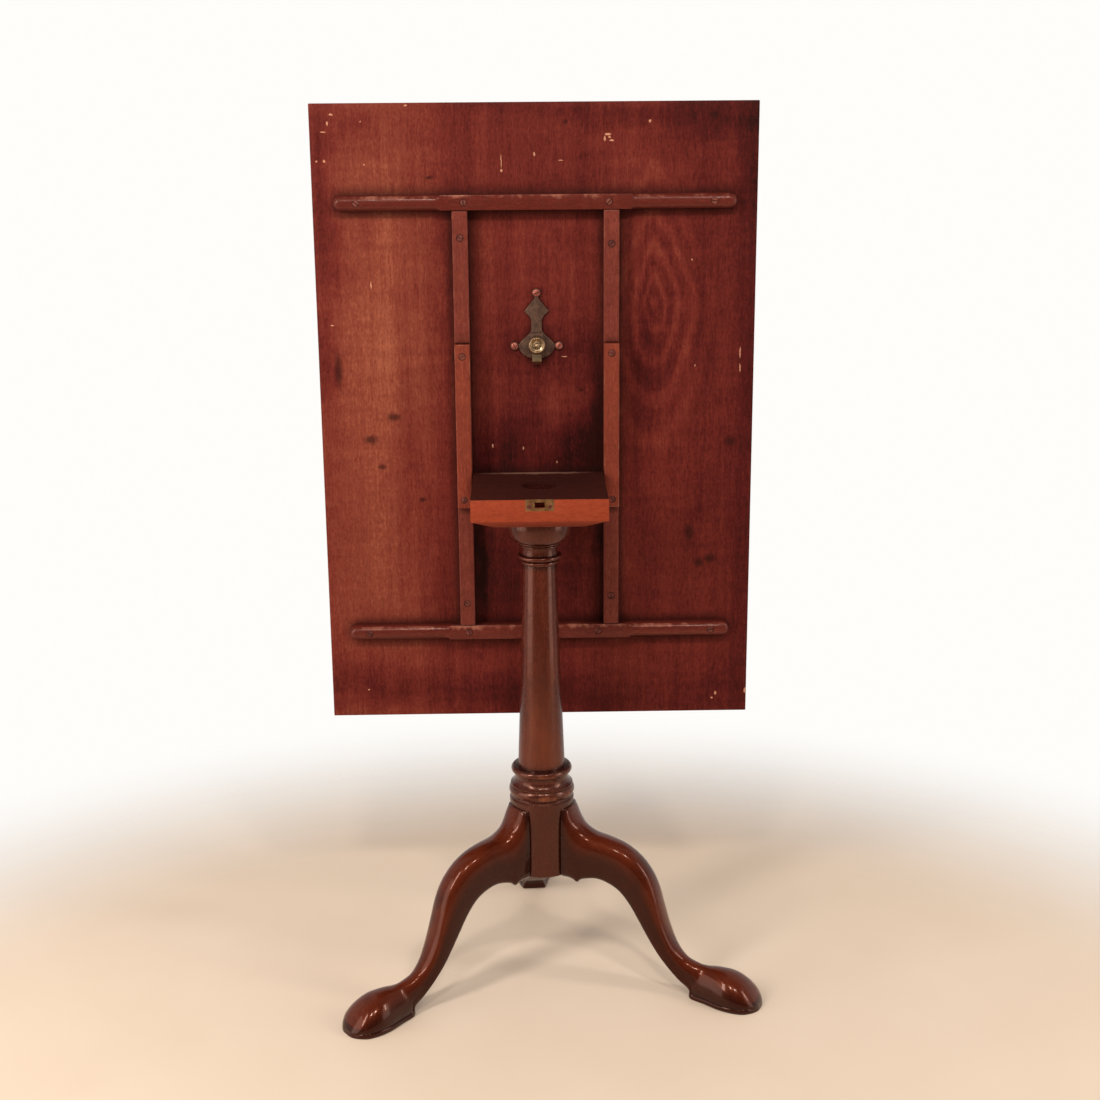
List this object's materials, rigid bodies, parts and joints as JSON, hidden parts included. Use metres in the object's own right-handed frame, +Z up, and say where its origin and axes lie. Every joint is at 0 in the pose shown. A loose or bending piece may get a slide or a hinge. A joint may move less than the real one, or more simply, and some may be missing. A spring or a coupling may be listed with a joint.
{
  "type": "tilt top table",
  "caption": "Pedestal table with a rectangular top that tips up on a pivot block, a turned column, three cabriole legs and a sprung brass latch.",
  "frame": {"origin": "centre of the whole table's outline on the floor, with the top tipped up", "axes": "+Z up; +Y towards the side that the top's show face looks to when tipped up; +X along the hinge line, to the right seen from the underside of the tipped top"},
  "size_m": [0.5908, 0.5264, 1.1855],
  "materials": {
    "top_wood": "polished, open-grained, worn",
    "bearer_wood": "thin old polish",
    "pivot_wood": "thin old polish, rubbed at the pivots",
    "block_wood": "thin old polish, top face dark",
    "base_wood": "dark glossy polish, rubbed through on the knees and shaft",
    "bronze": "dark aged patina",
    "brass": "aged, rubbed bright on high points",
    "old_steel": "dull, browned",
    "spring_wire": "drawn wire"
  },
  "bodies": {
    "base": {"column": "base_wood", "tenon_wedge": "pivot_wood", "pivot_block": "block_wood", "left_leg": "base_wood", "right_leg": "base_wood", "rear_leg": "base_wood", "strike_plate": "brass", "strike_screws": "old_steel"},
    "top": {"top_board": "top_wood", "upper_cross_batten": "bearer_wood", "lower_cross_batten": "bearer_wood", "left_upper_bearer": "bearer_wood", "right_upper_bearer": "bearer_wood", "left_pivot_bearer": "pivot_wood", "right_pivot_bearer": "pivot_wood", "left_lower_bearer": "bearer_wood", "right_lower_bearer": "bearer_wood", "cross_batten_screws": "old_steel", "plain_bearer_screws": "old_steel", "pivot_bearer_screws": "old_steel", "latch_plate": "bronze", "latch_case": "bronze", "latch_spring": "spring_wire", "latch_screws": "old_steel"},
    "latch": {"latch_bolt": "brass", "latch_knob": "brass"}
  },
  "joints": [
    {"name": "top_tilt", "type": "hinge", "parent": "base", "child": "top", "pos_m": [0, 0.0224, 0.6805], "axis": [1, 0, 0], "range_deg": [0, 90]},
    {"name": "latch_slide", "type": "slide", "parent": "top", "child": "latch", "axis": [0, 0, 1], "range_m": [0, 0.006], "stiffness_N_per_m": 400, "springref_m": -0.004, "deforming": ["latch_spring"]}
  ]
}
